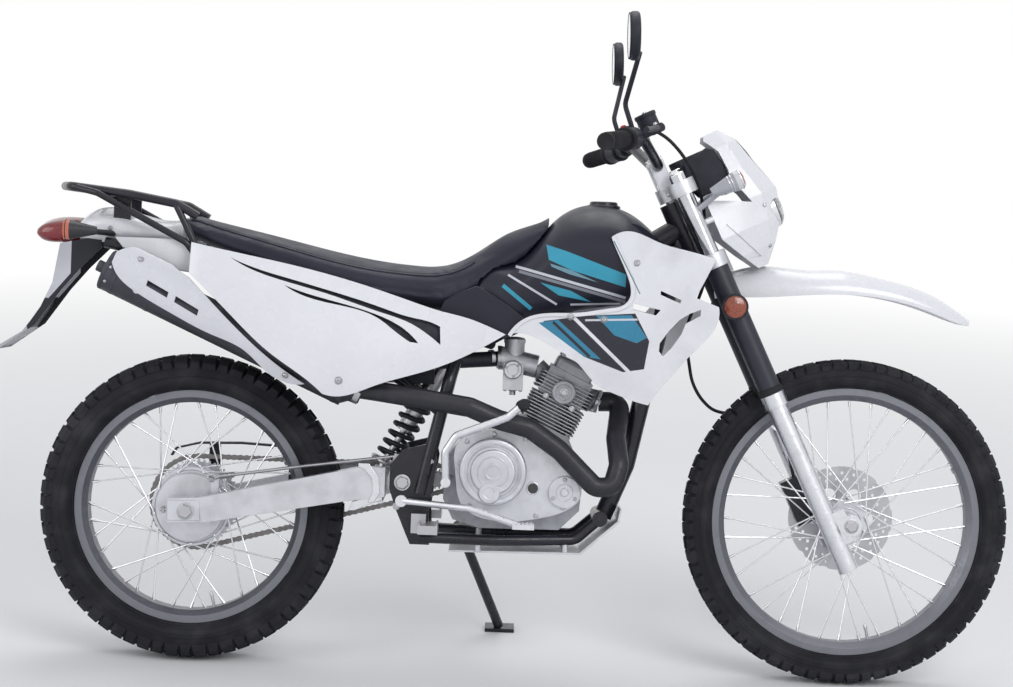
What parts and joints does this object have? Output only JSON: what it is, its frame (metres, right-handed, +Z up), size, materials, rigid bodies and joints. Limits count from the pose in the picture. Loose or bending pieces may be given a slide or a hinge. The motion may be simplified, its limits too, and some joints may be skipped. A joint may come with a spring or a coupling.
{
  "type": "dual sport motorcycle",
  "caption": "Single-cylinder dual sport motorcycle with laced wheels, knobbly tyres, long fork, high front fender, shrouded tank and rear rack, parked leaning on its side stand.",
  "frame": {"origin": "middle of the footprint on the floor, below the middle of the length and the leaned width", "axes": "+X forward along the machine, +Y to the rider's left, the side it leans to, +Z up from the floor"},
  "size_m": [2.112, 0.8214, 1.3861],
  "materials": {
    "black_paint": "satin black paint",
    "black_plastic": "grained black plastic",
    "chrome": "bright plate",
    "engine_black": "heat-proof black paint",
    "engine_grey": "grey engine paint",
    "lens_amber": "amber lens",
    "lens_clear": "clear lens",
    "lens_red": "red lens",
    "rubber": "matt black rubber",
    "seat_cover": "grained black seat cover",
    "silver_alloy": "cast and machined alloy",
    "steel": "plain steel",
    "tank_paint": "gloss black tank paint",
    "tyre": "matt black tyre rubber",
    "white_plastic": "gloss off-white plastic"
  },
  "bodies": {
    "frame": {"air_box": "black_plastic", "carburettor": "silver_alloy", "chain_guard": "black_plastic", "clutch_cover": "silver_alloy", "crankcase": "engine_grey", "cylinder": "engine_grey", "cylinder_head": "engine_grey", "drive_chain": "steel", "exhaust_pipe": "black_paint", "foot_levers": "black_paint", "footpegs": "steel", "fuel_tank": "tank_paint", "gearbox_sprocket": "steel", "kick_lever": "silver_alloy", "magneto_cover": "silver_alloy", "main_frame": "black_paint", "pivot_bolts": "steel", "rear_axle": "steel", "rear_brake_panel": "silver_alloy", "rear_fender": "black_plastic", "rear_indicators": "lens_clear", "rear_rack": "black_paint", "rear_shock": "engine_grey", "rear_subframe": "black_paint", "seat": "seat_cover", "shrouds": "white_plastic", "side_covers": "white_plastic", "silencer": "engine_grey", "silencer_guard": "white_plastic", "skid_plate": "silver_alloy", "swingarm": "silver_alloy", "tail_cover": "white_plastic", "tail_lamp": "lens_red"},
    "steering": {"fork_sliders": "silver_alloy", "fork_tubes": "black_paint", "fork_clamps": "black_paint", "front_axle": "steel", "handlebar": "black_paint", "grips": "rubber", "bar_controls": "black_plastic", "mirrors": "black_plastic", "headlamp_cowl": "white_plastic", "headlamp": "lens_clear", "instrument": "black_plastic", "front_fender": "white_plastic", "front_indicators": "lens_clear", "side_reflectors": "lens_amber", "brake_caliper": "engine_black", "brake_hose": "rubber"},
    "front_wheel": {"front_tyre": "tyre", "front_rim": "silver_alloy", "front_spokes": "chrome", "front_hub": "silver_alloy", "front_disc": "steel"},
    "rear_wheel": {"rear_tyre": "tyre", "rear_rim": "silver_alloy", "rear_spokes": "chrome", "rear_hub": "silver_alloy", "rear_sprocket": "steel"},
    "side_stand": {"side_stand": "black_paint"}
  },
  "joints": [
    {"name": "steering", "type": "hinge", "parent": "frame", "child": "steering", "pos_m": [0.38301, -0.03558, 0.86917], "axis": [-0.4384, 0.1406, 0.8877], "range_deg": [-42, 42]},
    {"name": "front_wheel_spin", "type": "hinge", "parent": "steering", "child": "front_wheel", "pos_m": [0.71731, -0.11997, 0.33638], "axis": [0, 0.9877, -0.1564], "continuous": true},
    {"name": "rear_wheel_spin", "type": "hinge", "parent": "frame", "child": "rear_wheel", "pos_m": [-0.64699, -0.12327, 0.31554], "axis": [0, 0.9877, -0.1564], "continuous": true},
    {"name": "side_stand_swing", "type": "hinge", "parent": "frame", "child": "side_stand", "pos_m": [-0.08699, -0.00562, 0.25289], "axis": [0, 0.9236, 0.3835], "range_deg": [0, 100]}
  ]
}
